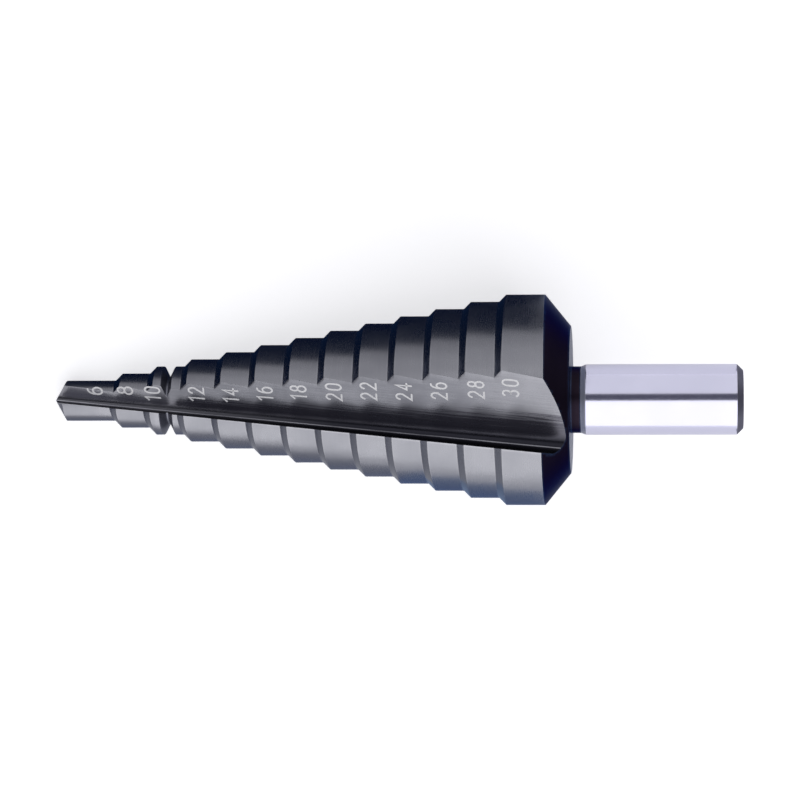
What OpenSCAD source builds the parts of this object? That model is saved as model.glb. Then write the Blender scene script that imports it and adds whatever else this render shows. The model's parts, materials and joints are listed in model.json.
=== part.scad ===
// Step drill for sheet metal, 6 to 30 mm in thirteen steps of 2 mm.
// One bar of high-speed steel, turned, fluted and relief ground, with a plain round shank.
// Drill frame: the tip is at the origin, the axis runs along +X to the shank and the
// numbered flute opens towards -Y. lying() then lays the drill down as it comes to rest.
// All lengths are in millimetres and all angles in degrees.

/* [Steps] */
// Diameter of the first step
first_d = 6; // [5:0.5:7]
// Growth in diameter from one step to the next
step_d = 2; // [1.6:0.1:2.4]
// Number of steps
step_count = 13; // [9:1:14]
// Length from the tip to the end of the first step
first_len = 8.75; // [7:0.05:12]
// Length of each later step, with its chamfer
step_len = 5; // [4.4:0.1:6]
// Length of the last step behind its chamfer
last_len = 5.4; // [4:0.1:7]
// Angle of the step chamfers to the axis
step_angle = 45; // [40:1:55]

/* [Point] */
// Angle of the point, from side to side
point_angle = 118; // [110:1:130]
// Distance of each point cone from the axis, which gives the lips their relief
point_relief = 0.7; // [0.4:0.05:0.9]
// Turn of the chisel edge from the cutting faces, inside both flutes
chisel_turn = 5; // [0:1:10]

/* [Flutes] */
// Depth of the cutting faces below the axis at the tip
rake_set = 0.2; // [0.1:0.01:0.3]
// Angle at which the cutting faces fall away from the axis
rake_fall = 5.77; // [5.4:0.01:6.2]
// How far the flute's root line reaches past the axis at the tip
root_past = 0.09; // [0:0.01:0.15]
// Angle at which the root line swings out in the cutting face
root_swing = 6.31; // [6:0.01:6.6]
// Angle between the cutting face and the wall that carries the numbers
flute_angle = 56.7; // [52:0.1:60]
// Radius of the flute's root at the tip
root_tip_r = 0.7; // [0.6:0.05:0.8]
// Radius of the flute's root at its end
root_end_r = 1.8; // [1.4:0.1:2.2]

/* [Land relief] */
// Distance of each land's own centre from the axis, towards its cutting edge
land_relief = 0.22; // [0.1:0.01:0.35]

/* [Groove] */
// Step that carries the groove, counted from the tip
groove_step = 3; // [3:1:5]
// Distance from the crest of that step to the middle of the groove
groove_shift = 1.9; // [1.6:0.1:2.3]
// Depth of the groove
groove_depth = 1.55; // [0.8:0.05:1.7]
// Width of the groove's flat bottom
groove_flat = 0.25; // [0.1:0.05:0.5]
// Angle of the groove's walls to the axis
groove_angle = 63; // [55:1:75]

/* [Back] */
// Diameter of the flat back face
back_d = 20.8; // [19:0.2:23]
// Angle of the back chamfer to the axis
back_angle = 51; // [45:0.5:60]
// Diameter of the neck behind the back face
neck_d = 9.4; // [8.6:0.1:9.8]
// Length of the neck
neck_len = 1.4; // [1:0.05:3]

/* [Shank] */
// Diameter of the shank
shank_d = 10; // [9.9:0.05:12]
// Length of the shank, with both chamfers
shank_len = 22.7; // [18:0.1:30]
// Length of the shallow chamfer next to the neck
lead_len = 0.7; // [0.4:0.1:1.2]
// Width of the chamfer at the end
end_chamfer = 0.9; // [0.5:0.1:1.2]
// Diameter of the centre hole's mouth
centre_d = 3; // [2:0.1:3.6]
// Diameter of the centre hole's pilot
pilot_d = 1.2; // [0.8:0.1:1.6]
// Depth of the centre hole
centre_depth = 3.2; // [2.8:0.1:4.5]
// Angle of the centre hole's cone
centre_angle = 60; // [55:1:90]

/* [Quality] */
// Segments on each full turn
turn_parts = 144; // [72:12:240]

/* [Hidden] */

$fn = turn_parts;

// Turn from one flute and land to the other
half_turn = 180;

// What a cutting shape runs past the surface that it cuts
over = 2;

// Radii and places of the steps, where step 0 is the first
first_r = first_d / 2;
rise = step_d / 2 / tan(step_angle);
last = step_count - 1;
function step_r(i) = first_r + i * step_d / 2;
function foot_u(i) = first_len + (i - 1) * step_len;
function crest_u(i) = foot_u(i) + rise;
last_r = step_r(last);

// Places along the axis behind the steps
land_end_u = crest_u(last) + last_len;
back_u = land_end_u + (last_r - back_d / 2) / tan(back_angle);
shank_u = back_u + neck_len;
overall_len = shank_u + shank_len;

// Slope of the point, as length over radius
point_slope = 1 / tan(point_angle / 2);

// Height of the cutting face at a place along the axis, below zero
function rake_z(u) = -rake_set - u * tan(rake_fall);

// Direction of the cutting edge at the last crest, seen along the axis, from -Y towards +Z
edge_angle = asin(rake_z(crest_u(last)) / last_r);

// Centres of the lower half's land and point cone, as Y and Z across the axis. The two
// halves meet in a plane through the axis and the chisel edge.
land_centre = land_relief * [-cos(edge_angle), sin(edge_angle)];
point_centre = point_relief * [sin(chisel_turn), cos(chisel_turn)];

// Root cone, tangent to the cutting face and to the wall
flute_len = (back_u + over) / cos(rake_fall) / cos(root_swing);
root_growth = (root_end_r - root_tip_r) / flute_len;
root_apex = root_tip_r / root_growth;
cone_tilt = atan(root_growth / sin(flute_angle / 2));
cone_half = asin(sin(cone_tilt) * sin(flute_angle / 2));
cone_len = (flute_len + root_apex) / cos(cone_tilt);
// Tilt of the plane in which the root cone touches both faces
touch_tilt = atan(tan(cone_tilt) * pow(cos(flute_angle / 2), 2));
// How much the root cone is oversize, so that it leaves no film at its tangent lines
root_film = 0.01;
// Reach of a flute's faces across the drill
flute_reach = 3 * last_r;

// Corner of the cutting edge on a land of radius r, at a place along the axis
function edge_corner(r, u) =
    let (up = rake_z(u) - land_centre[1])
    [u, land_centre[0] - sqrt(pow(r - land_relief, 2) - up * up), rake_z(u)];

// Place of the front corner of the cutting edge, where the point cone meets the first land
function lip_u(u, tries) =
    let (p = edge_corner(first_r, u), out = norm([p[1], p[2]] - point_centre))
    tries == 0 ? u : lip_u(point_slope * (out - point_relief), tries - 1);

// Heel corner on a land of radius r, where the number wall leaves the other half's land
wall_across = [
    sin(flute_angle) * sin(root_swing) * sin(rake_fall) - cos(flute_angle) * cos(rake_fall),
    sin(flute_angle) * cos(root_swing)
];
wall_dir = wall_across / norm(wall_across);
function root_point(u) = [root_past - u * tan(root_swing) / cos(rake_fall), rake_z(u)];
function heel_corner(r, u) =
    let (q = root_point(u) + land_centre, b = q * wall_dir, c = q * q - pow(r - land_relief, 2))
    concat(u, root_point(u) + wall_dir * (sqrt(b * b - c) - b));

// The drill lies on the other flute's front lip corner and on its two corners at the last crest
lip_corner = edge_corner(first_r, lip_u(0, 6));
last_edge = edge_corner(last_r, crest_u(last));
last_heel = heel_corner(last_r, crest_u(last));
rest_normal = cross(last_edge - lip_corner, last_heel - lip_corner);
rest_roll = 90 - atan2(rest_normal[2], rest_normal[1]);
rest_pitch = -atan(abs(rest_normal[0]) / norm([rest_normal[1], rest_normal[2]]));
rest_height = rest_normal * lip_corner / norm(rest_normal);

// Outline of the steps, as radius and place along the axis
steps_outline = [
    [0, -over],
    [first_r, -over],
    for (i = [1 : last]) each [[step_r(i - 1), foot_u(i)], [step_r(i), crest_u(i)]],
    [last_r, back_u],
    [0, back_u]
];

// Outline of the back chamfer and back face, open towards the tip
back_outline = [
    [0, -over],
    [last_r + over, -over],
    [last_r + over, land_end_u - over / tan(back_angle)],
    [back_d / 2, back_u],
    [0, back_u]
];

// Outline of the neck and shank, which starts inside the body
shank_outline = [
    [0, back_u - over],
    [neck_d / 2, back_u - over],
    [neck_d / 2, shank_u],
    [shank_d / 2, shank_u + lead_len],
    [shank_d / 2, overall_len - end_chamfer],
    [shank_d / 2 - end_chamfer, overall_len],
    [0, overall_len]
];

// Half widths of the groove at its bottom and where it leaves the land
groove_mid = crest_u(groove_step - 1) + groove_shift;
groove_bottom_r = step_r(groove_step - 1) - groove_depth;
groove_open = groove_flat / 2 + (groove_depth + over) / tan(groove_angle);
groove_outline = [
    [groove_bottom_r, groove_mid - groove_flat / 2],
    [groove_bottom_r + groove_depth + over, groove_mid - groove_open],
    [groove_bottom_r + groove_depth + over, groove_mid + groove_open],
    [groove_bottom_r, groove_mid + groove_flat / 2]
];

// Centre hole in the end of the shank
centre_cone_len = (centre_d - pilot_d) / 2 / tan(centre_angle / 2);
centre_outline = [
    [0, overall_len - centre_depth],
    [pilot_d / 2, overall_len - centre_depth + pilot_d / 4],
    [pilot_d / 2, overall_len - centre_cone_len],
    [centre_d / 2, overall_len],
    [centre_d / 2, overall_len + over],
    [0, overall_len + over]
];

// Turns an outline of radius and place about the drill's axis
module turned(outline) {
    rotate([0, 90, 0])
        rotate_extrude()
            polygon(outline);
}

// One of the two point cones, set off from the axis by the point relief
module point_cone() {
    cone_r = last_r + over + point_relief;
    tip_u = -point_relief * point_slope;
    translate([tip_u, 0, point_relief])
        rotate([0, 90, 0]) {
            cylinder(h = cone_r * point_slope, r1 = 0, r2 = cone_r);
            translate([0, 0, cone_r * point_slope])
                cylinder(h = back_u + over, r = cone_r);
        }
}

// Half of the turned body: its land, relieved from the cutting edge to the heel
module body_half() {
    intersection() {
        translate([0, land_centre[0], land_centre[1]])
            turned([for (p = steps_outline) [max(0, p[0] - (p[0] > 0 ? land_relief : 0)), p[1]]]);
        rotate([-chisel_turn, 0, 0])
            intersection() {
                point_cone();
                translate([-over, -last_r - over, -last_r - over])
                    cube([back_u + 2 * over, 2 * (last_r + over), last_r + over]);
            }
    }
}

// Puts a cutting shape at one of the two flutes, with the root line along X before the move
module at_flute(turn) {
    rotate([turn, 0, 0])
        translate([0, root_past, -rake_set])
            rotate([0, rake_fall, 0])
                rotate([0, 0, -root_swing])
                    translate([-root_apex, 0, 0])
                        rotate([-flute_angle / 2, 0, 0])
                            children();
}

// Root cone, in a frame with the root line along X and the flute opening to -Y
module root_cone() {
    rotate([0, 0, -cone_tilt])
        rotate([0, 90, 0])
            cylinder(h = cone_len, r1 = root_film, r2 = cone_len * tan(cone_half) + root_film);
}

// The two flat faces of a flute, from the lines where the root cone touches them
module flute_wedge() {
    half_w = flute_reach * tan(flute_angle / 2);
    difference() {
        rotate([90, 0, 90])
            linear_extrude(height = flute_len + root_apex)
                polygon([[0, 0], [-flute_reach, -half_w], [-flute_reach, half_w]]);
        rotate([0, 0, -touch_tilt])
            translate([-over, 0, -flute_reach])
                cube([2 * (flute_len + root_apex), flute_reach, 2 * flute_reach]);
    }
}

// Stepped and fluted body
module fluted_body() {
    difference() {
        intersection() {
            union() {
                body_half();
                rotate([half_turn, 0, 0])
                    body_half();
            }
            turned(back_outline);
        }
        at_flute(0) flute_wedge();
        at_flute(0) root_cone();
        at_flute(half_turn) flute_wedge();
        at_flute(half_turn) root_cone();
        turned(groove_outline);
    }
}

// Neck and shank, with the centre hole in the end
module shank() {
    difference() {
        turned(shank_outline);
        turned(centre_outline);
    }
}

// Lays the drill on the floor, tip down towards -X, with the numbered flute up
module lying() {
    reach = overall_len * cos(rest_pitch) - (shank_d / 2 - end_chamfer) * sin(rest_pitch);
    translate([-reach / 2, 0, rest_height])
        rotate([0, rest_pitch, 0])
            rotate([rest_roll, 0, 0])
                children();
}

// The whole drill, ground from one bar
module drill_bit() {
    lying() {
        color([0.33, 0.34, 0.38])
            fluted_body();
        color([0.80, 0.80, 0.84])
            shank();
    }
}

drill_bit();
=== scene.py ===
import json
import bpy
import bmesh
import numpy as np
from math import asin, atan, atan2, cos, pi, radians, sin, tan
from mathutils import Matrix, Vector
from mathutils.geometry import delaunay_2d_cdt


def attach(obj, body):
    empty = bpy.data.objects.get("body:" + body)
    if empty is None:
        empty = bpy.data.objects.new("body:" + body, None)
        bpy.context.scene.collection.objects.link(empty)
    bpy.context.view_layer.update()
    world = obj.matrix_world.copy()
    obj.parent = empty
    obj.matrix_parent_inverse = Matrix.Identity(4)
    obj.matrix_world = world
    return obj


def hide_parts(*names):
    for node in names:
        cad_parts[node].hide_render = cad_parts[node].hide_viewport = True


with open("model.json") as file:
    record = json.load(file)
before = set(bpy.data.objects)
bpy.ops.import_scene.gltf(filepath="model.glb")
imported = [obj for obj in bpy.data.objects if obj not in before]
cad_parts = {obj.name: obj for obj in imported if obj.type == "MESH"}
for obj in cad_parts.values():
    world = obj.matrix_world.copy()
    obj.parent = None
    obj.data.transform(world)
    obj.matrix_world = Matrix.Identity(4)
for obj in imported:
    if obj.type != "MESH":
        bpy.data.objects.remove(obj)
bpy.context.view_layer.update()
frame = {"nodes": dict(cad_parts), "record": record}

mm = 0.001
scene = bpy.context.scene
print("frame loaded:", ", ".join(frame["nodes"]))

# Step drill, drawn in its own frame in millimetres: u along the axis from the tip, v out of
# the numbered flute, w across it. toRow() lays its points down. The last rows of values say
# how finely it is meshed: parts, rings, and the gaps between free points.
drill = {
    "firstD": 6.0, "stepD": 2.0, "stepCount": 13,
    "firstLen": 8.75, "stepLen": 5.0, "lastLen": 5.4, "stepAngle": 45.0,
    "pointAngle": 118.0, "pointRelief": 0.7, "chiselTurn": 5.0,
    "rakeSet": 0.2, "rakeFall": 5.77, "rootPast": 0.09, "rootSwing": 6.31,
    "fluteAngle": 56.7, "rootTipR": 0.7, "rootEndR": 1.8, "fluteRunOut": 2.0,
    "landRelief": 0.22, "lipLean": 0.40, "lastLean": 0.05, "leanGrowth": 0.24, "leanShare": 0.42,
    "leanReach": 0.4, "restRoll": 266.5,
    "grooveStep": 3, "grooveShift": 1.9, "grooveDepth": 1.55, "grooveFlat": 0.25, "grooveAngle": 63.0,
    "backD": 20.8, "backAngle": 51.0, "neckD": 9.4, "neckLen": 1.4,
    "shankD": 10.0, "shankLen": 22.7, "leadLen": 0.7, "endChamfer": 0.9,
    "centreD": 3.0, "pilotD": 1.2, "centreDepth": 3.2, "centreAngle": 60.0,
    "edgeBreak": 0.045, "grooveSoftness": 1.3, "turnedSoftness": 1.4, "lipBreak": 0.03,
    "guard": 0.22, "withinCad": 0.9995, "ringWearAndHighlight": 0.45,
    "landParts": 72, "wallParts": 9, "rootParts": 12, "rakeParts": 9, "turnParts": 192, "grooveParts": 7,
    "tipRings": (2.6, 4.4, 6.4), "plainRing": 1.5, "grooveSide": 0.4, "chiselParts": 10,
    "pointFirst": 0.12, "pointGap": 0.22, "pointSpan": 0.24, "pointClear": 0.07,
    "backFirst": 0.3, "backGap": 0.36, "backClear": 0.22,
}
d = drill

# Places along the axis
lastStep = d["stepCount"] - 1
stepRise = d["stepD"] / 2 / tan(radians(d["stepAngle"]))


def stepR(i):
    return d["firstD"] / 2 + i * d["stepD"] / 2


def footU(i):
    return d["firstLen"] + (i - 1) * d["stepLen"]


def crestU(i):
    return footU(i) + stepRise


lastR = stepR(lastStep)
landEndU = crestU(lastStep) + d["lastLen"]
backSlope = tan(radians(d["backAngle"]))
backU = landEndU + (lastR - d["backD"] / 2) / backSlope
shankU = backU + d["neckLen"]
overallLen = shankU + d["shankLen"]

# Slopes of the flute
fall = radians(d["rakeFall"])
swing = radians(d["rootSwing"])
opening = radians(d["fluteAngle"])
rootDir = np.array([cos(swing) * cos(fall), sin(swing), -cos(swing) * sin(fall)])
rakeDir = np.array([-sin(swing) * cos(fall), cos(swing), sin(swing) * sin(fall)])
upDir = np.array([sin(fall), 0.0, cos(fall)])
wallDir = cos(opening) * rakeDir + sin(opening) * upDir
rootStart = np.array([0.0, -d["rootPast"], -d["rakeSet"]])

# The root is a cone that touches the cutting face and the wall, so all three meet in one apex
fluteLen = (backU + d["fluteRunOut"]) / cos(fall) / cos(swing)
rootGrowth = (d["rootEndR"] - d["rootTipR"]) / fluteLen
rootApex = rootStart - rootDir * d["rootTipR"] / rootGrowth
coneTilt = atan(rootGrowth / sin(opening / 2))
coneHalf = asin(sin(coneTilt) * sin(opening / 2))
bisector = cos(opening / 2) * rakeDir + sin(opening / 2) * upDir
coneAxis = cos(coneTilt) * rootDir + sin(coneTilt) * bisector
coneDown = sin(coneTilt) * rootDir - cos(coneTilt) * bisector
coneSide = cos(opening / 2) * upDir - sin(opening / 2) * rakeDir

# Direction of the last cutting corner, towards which each land's own centre is set off
edgeAngle = asin((-d["rakeSet"] - crestU(lastStep) * tan(fall)) / lastR)
landCentre = d["landRelief"] * np.array([cos(edgeAngle), sin(edgeAngle)])
chisel = radians(d["chiselTurn"])
chiselDir = np.array([cos(chisel), sin(chisel)])
chiselNormal = np.array([-sin(chisel), cos(chisel)])
pointCentre = d["pointRelief"] * chiselNormal
pointSlope = 1 / tan(radians(d["pointAngle"] / 2))


# Places at these angles about the axis, this far out.
def around(angles, reach):
    return reach * np.stack([np.cos(angles), np.sin(angles)], axis=-1)


# Places on the root cone, at the turns phi and at u.
def rayAt(phi, u):
    aside = np.cos(phi)[..., None] * coneDown + np.sin(phi)[..., None] * coneSide
    g = cos(coneHalf) * coneAxis + sin(coneHalf) * aside
    t = (np.asarray(u) - rootApex[0]) / g[..., 0]
    return rootApex[1:] + g[..., 1:] * np.asarray(t)[..., None]


# Turn at which the root cone touches the wall; the cutting face is at minus this.
def touchTurn():
    c0 = cos(coneHalf) * np.dot(coneAxis, upDir)
    c1 = sin(coneHalf) * np.dot(coneDown, upDir)
    c2 = sin(coneHalf) * np.dot(coneSide, upDir)
    turn = atan2(-c2, -c1) if c0 > 0 else atan2(c2, c1)
    return abs(turn)


touch = touchTurn()
flatWall = wallDir - rootDir * wallDir[0] / rootDir[0]
flatWall = flatWall[1:] / np.linalg.norm(flatWall[1:])


def rootAt(u):
    return np.stack([
        rootStart[1] + u * tan(swing) / cos(fall),
        rootStart[2] - u * tan(fall)], axis=-1)


def lipCorner(u, r, centre):
    w = rootStart[2] - u * tan(fall)
    v = centre[0] + np.sqrt(r * r - (w - centre[1]) ** 2)
    return np.stack([v, w], axis=-1)


# Heel of the land about this centre, on the wall of the flute that opens the other way.
def heelCorner(u, r, centre):
    q = rootAt(u) + centre
    b = q @ flatWall
    c = (q * q).sum(axis=-1) - r * r
    t = -b + np.sqrt(b * b - c)
    return -(rootAt(u) + flatWall * t[..., None])


# Point where the flute's root meets the point cone, as u, found from a first guess.
def flutePoint(phi, u):
    for _ in range(40):
        p = rayAt(phi, u)
        u = pointHeight(p)
    return u


# Height of the point's surface over a place across the axis, on the side that it lies on.
def pointHeight(p):
    side = np.sign(p @ chiselNormal)
    away = p + side[..., None] * pointCentre if np.ndim(side) else p + side * pointCentre
    return pointSlope * (np.linalg.norm(away, axis=-1) - d["pointRelief"])


# Closes in on where over turns true: gives the low side, the last middle and the high side.
def closeIn(over, low, high, rounds):
    for _ in range(rounds):
        mid = (low + high) / 2
        past = over(mid)
        low, high = np.where(past, low, mid), np.where(past, mid, high)
    return low, mid, high


# Turn of the root cone at which the chisel edge ends.
def chiselEnd():
    def over(turn):
        return rayAt(turn, flutePoint(turn, 0.3)) @ chiselNormal > 0

    return float(closeIn(over, -touch, touch, 60)[0])


split = chiselEnd()
rootTurns = np.concatenate([
    np.linspace(touch, split, d["rootParts"] // 2 + 1),
    np.linspace(split, -touch, d["rootParts"] // 2 + 1)[1:]])

# Index ranges of half a section: land, heel break, wall, root, cutting face, lip break
landN = d["landParts"] + 1
wallN = d["wallParts"] + 1
rootN = len(rootTurns) - 2
rakeN = d["rakeParts"] + 1
halfN = landN + 1 + wallN + rootN + rakeN + 1
heelI = landN
wallI = heelI + 1
rootI = wallI + wallN
rakeI = rootI + rootN
lipI = rakeI + rakeN
chiselI = rootI + d["rootParts"] // 2 - 1
landShare = (1 - np.cos(np.linspace(0, pi, landN))) / 2
fluteN = wallN + rootN + rakeN
wallEnd, rootEnd, fluteEnd = d["wallParts"], d["wallParts"] + d["rootParts"], fluteN - 1
fluteShare = 1 - np.arange(halfN - heelI) / (halfN - heelI)     # 1 at the heel, falling to the lip
turnAngles = np.linspace(0, 2 * pi, d["turnParts"], endpoint=False)


# The same value for each point of half a section.
def spread(value):
    return np.full(halfN, float(value))


# Places on a flute, where s runs from the heel over the wall, the root and the cutting face.
def fluteAt(s, u, heel, lip):
    turns = np.interp(s, np.arange(wallEnd, rootEnd + 1), rootTurns)
    top = -rayAt(np.full_like(s, touch), u)
    low = -rayAt(np.full_like(s, -touch), u)
    s = s[:, None]
    wall = heel + (top - heel) * s / wallEnd
    face = low + (-lip - low) * (s - rootEnd) / d["rakeParts"]
    return np.where(s < wallEnd, wall, np.where(s > rootEnd, face, -rayAt(turns, u)))


# One land and the flute behind it. u and r have a value for each of the halfN points. Where
# cut is given, the land is turned down to that radius about the drill's own axis.
def halfSection(u, r, centre, cut=None):
    p = np.zeros((halfN, 2))
    lip = lipCorner(u, r, centre)
    heel = heelCorner(u, r, centre)
    corners = (heel, lip)
    start, end = spread(0), spread(fluteEnd)
    if cut is not None:
        def away(s):
            return np.linalg.norm(fluteAt(s, u, heel, lip), axis=-1)

        start = closeIn(lambda s: away(s) < cut, start, spread(rootEnd), 40)[1]
        end = closeIn(lambda s: away(s) > cut, spread(wallEnd), end, 40)[1]
        heel, lip = fluteAt(start, u, heel, lip), -fluteAt(end, u, heel, lip)
        centre, r = np.zeros(2), cut
    a0 = np.arctan2(lip[:, 1] - centre[1], lip[:, 0] - centre[0])
    a1 = np.arctan2(heel[:, 1] - centre[1], heel[:, 0] - centre[0])
    a1 = np.where(a1 > a0, a1 - 2 * pi, a1)
    broken = d["lipBreak"] / r
    i = slice(0, landN)
    a = a0[i] - broken[i] + (a1[i] - a0[i] + 2 * broken[i]) * landShare
    p[i] = centre + around(a, r[i, None])
    i = slice(wallI, lipI)
    s = start[i] + (end - start)[i] * np.arange(fluteN) / fluteEnd
    p[i] = fluteAt(s, u[i], corners[0][i], corners[1][i])
    for at, beside in ((wallI, wallI + 1), (lipI - 1, lipI - 2)):
        run = p[beside] - p[at]
        p[at] = p[at] + run * d["lipBreak"] / np.linalg.norm(run)
    p[heelI] = p[heelI - 1] / 4 + heel[heelI] / 2 + p[wallI] / 4
    p[lipI] = p[lipI - 1] / 4 - lip[lipI] / 2 - p[0] / 4
    return p


# A whole section as 2 * halfN points of u, v and w.
def ring(u, r, centre, cut=None):
    p = halfSection(u, r, centre, cut)
    both = np.concatenate([p, -p])
    return np.column_stack([np.concatenate([u, u]), both])


# An outline of (u, r) with each inner corner broken, as (u, r, edge mark); the edge mark is
# partly wear and partly a painted highlight.
def rounded(corners, radius, guard=0.0):
    out = [(*corners[0], 0.0)]
    for before, here, after in zip(corners, corners[1:], corners[2:]):
        b, h, a = (Vector(c) for c in (before, here, after))
        din, dout = h - b, a - h
        step = min(radius, din.length * 0.3, dout.length * 0.3)
        p0, p1 = h - din.normalized() * step, h + dout.normalized() * step
        places = [(p0, 0.6), (p0 / 4 + h / 2 + p1 / 4, 1.0), (p1, 0.6)]
        if guard and din.length > 3 * guard:
            places.insert(0, (h - din.normalized() * guard, 0.0))
        if guard and dout.length > 3 * guard:
            places.append((h + dout.normalized() * guard, 0.0))
        out += [(p.x, p.y, wearAndHighlight) for p, wearAndHighlight in places]
    return out + [(*corners[-1], 0.0)]


# Each riser is backed off behind its cutting corner: at the lip it starts nearer the tip, and
# it runs out to its plain place round the land and across the cutting face. The last two lean
# less, because the drill rests on the last one's corner.
def riserLean(u):
    i = min(max(round((u - d["firstLen"] - stepRise / 2) / d["stepLen"]) + 1, 1), lastStep)
    if not footU(i) - d["leanReach"] < u < crestU(i) + d["leanReach"]:
        return spread(0)
    gone = np.minimum(landShare / d["leanShare"], 1)
    lean = np.concatenate([1 - gone * gone * (3 - 2 * gone), (1 - fluteShare) ** 3])
    most = min(d["lipLean"], d["lastLean"] + d["leanGrowth"] * (lastStep - i))
    return -most * lean


# Rings of the groove, whose edges follow the relief of the land.
def grooveRings(stations):
    step = d["grooveStep"] - 1
    mid = crestU(step) + d["grooveShift"]
    bottom = stepR(step) - d["grooveDepth"]
    wall = tan(radians(d["grooveAngle"]))
    land = spread(stepR(step) - d["landRelief"])
    landR = np.linalg.norm(halfSection(spread(mid), land, landCentre)[:landN], axis=-1)
    outlines = []
    for r in landR:
        flat = d["grooveFlat"] / 2
        half = flat + (r - bottom) / wall
        corners = [
            (mid - half - d["grooveSide"], r), (mid - half, r), (mid - flat, bottom),
            (mid + flat, bottom), (mid + half, r), (mid + half + d["grooveSide"], r)]
        outline = rounded(corners, d["edgeBreak"] * d["grooveSoftness"])[1:-1]
        for at in (3, 3 + 6 + d["grooveParts"] - 1):     # the two walls, after three points each
            a, b = np.array(outline[at - 1]), np.array(outline[at])
            more = [tuple(a + (b - a) * k / d["grooveParts"]) for k in range(1, d["grooveParts"])]
            outline[at:at] = more
        outlines.append(outline)
    table = np.array(outlines)              # land point, station, (u, r, edge mark)
    last = table.shape[1] - 1
    for k in range(last + 1):
        start, end = table[0, k, :2], table[-1, k, :2]
        inFlute = start + (end - start) * fluteShare[:, None]
        u, r = np.concatenate([table[:, k, :2], inFlute]).T
        points = ring(u, land, landCentre, None if k in (0, last) else r)
        stations.append((points, table[0, k, 2], "land" if k == last else "groove"))


# Where each line of the section starts, on the point cones.
def frontU():
    r = spread(d["firstD"] / 2 - d["landRelief"])
    u = spread(0.6)
    for _ in range(60):
        u = pointHeight(halfSection(u, r, landCentre))
    return u


# Where each line of the section ends, on the back cone.
def endU():
    r = spread(lastR - d["landRelief"])

    def over(u):
        away = np.linalg.norm(halfSection(u, r, landCentre), axis=-1)
        return away > lastR - (u - landEndU) * backSlope

    low, _, high = closeIn(over, spread(landEndU - 1), spread(backU), 50)
    return (low + high) / 2


# The stepped body from the point to the end of the last land, ring by ring.
def bodyStations():
    corners = [(0.0, stepR(0))]
    for i in range(1, lastStep + 1):
        corners += [(footU(i), stepR(i - 1)), (crestU(i), stepR(i))]
    corners += [(landEndU, lastR)]
    profile = rounded(corners, d["edgeBreak"], d["guard"])[1:-1]
    stations = []

    # One ring that follows the relief, at one u or at one for each point of half a section
    def addRing(u, r, wearAndHighlight=0.0, kind="land"):
        stations.append((ring(spread(0) + u, spread(r - d["landRelief"]), landCentre), wearAndHighlight, kind))

    start = frontU()
    settled = d["tipRings"][0]
    for share in (0.0, 0.03, 0.2, 0.5, 1.0):
        addRing(start + (settled - start) * share, stepR(0), 1.0 if share == 0 else 0.0)
    for u in d["tipRings"][1:]:
        addRing(u, stepR(0))
    grooveDone = False
    grooveMid = crestU(d["grooveStep"] - 1) + d["grooveShift"]
    for (u, r, wearAndHighlight), after in zip(profile, profile[1:] + [None]):
        if u > grooveMid and not grooveDone:
            grooveRings(stations)
            grooveDone = True
        rising = after is not None and after[1] > r + 1e-6
        addRing(u + riserLean(u), r, wearAndHighlight, "riser" if rising else "land")
        if after is not None and not rising and after[0] - u > 2 and not u < grooveMid < after[0]:
            addRing((u + after[0]) / 2, r)
    end = endU()
    lastPlain = crestU(lastStep) + d["plainRing"]
    for share in (0.0, 0.55, 0.94, 0.985, 1.0):
        addRing(lastPlain + (end - lastPlain) * share, lastR, 1.0 if share == 1 else 0.0)
    return stations


# Which points lie inside a closed loop, by counting crossings.
def inside(points, loop):
    x, y = points[:, 0], points[:, 1]
    result = np.zeros(len(points), dtype=bool)
    for (x0, y0), (x1, y1) in zip(loop, np.roll(loop, -1, axis=0)):
        crosses = (y0 > y) != (y1 > y)
        if not crosses.any():
            continue
        at = x0 + (y - y0) / (y1 - y0 if y1 != y0 else 1e-12) * (x1 - x0)
        result ^= crosses & (x < at)
    return result


# Points that keep this distance from every point of a loop.
def clearOf(points, loop, gap):
    away = np.linalg.norm(points[:, None, :] - loop[None, :, :], axis=-1).min(axis=1)
    return points[away > gap]


# Triangles between closed loops, the first outside, with free points between them.
def patch(loops, free):
    points = np.concatenate([*loops, free]) if len(free) else np.concatenate(loops)
    edges = []
    start = 0
    for loop in loops:
        n = len(loop)
        edges += [(start + i, start + (i + 1) % n) for i in range(n)]
        start += n
    flat = [Vector((float(x), float(y))) for x, y in points]
    _, _, faces, origin, _, _ = delaunay_2d_cdt(flat, edges, [], 0, 1e-7)
    source = [ids[0] for ids in origin]
    triangles = np.array([[source[i] for i in f] for f in faces])
    middle = points[triangles].mean(axis=1)
    keep = inside(middle, loops[0])
    for hole in loops[1:]:
        keep &= ~inside(middle, hole)
    return triangles[keep]


# Adds points with their edge mark, partly wear and partly painted highlight, to the gathered
# mesh, and says what numbers they got.
def addPoints(build, points, wearAndHighlight=0.0):
    start = len(build["points"])
    build["points"] += [tuple(p) for p in points]
    build["wearAndHighlight"] += [float(x) for x in np.broadcast_to(wearAndHighlight, len(points))]
    return np.arange(start, start + len(points))


# Faces between two rings of the same count. finish is one name, or one for each face.
def addStrip(build, a, b, finish):
    n = len(a)
    for i in range(n):
        j = (i + 1) % n
        build["faces"].append((a[i], a[j], b[j], b[i]))
    build["finish"] += finish if isinstance(finish, list) else [finish] * n


# Adds the triangles between closed loops, whose points are in the mesh already. The free points
# keep this far from the first loop, and height gives their u.
def addPatch(build, loops, loopIds, free, clear, height, finish):
    free = np.concatenate(free)
    free = clearOf(free[inside(free, loops[0])], loops[0], clear)
    freeIds = addPoints(build, np.column_stack([height(free), free]))
    allIds = np.concatenate([*loopIds, freeIds])
    for tri in patch(loops, free):
        build["faces"].append(tuple(allIds[tri]))
        build["finish"].append(finish)
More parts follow.
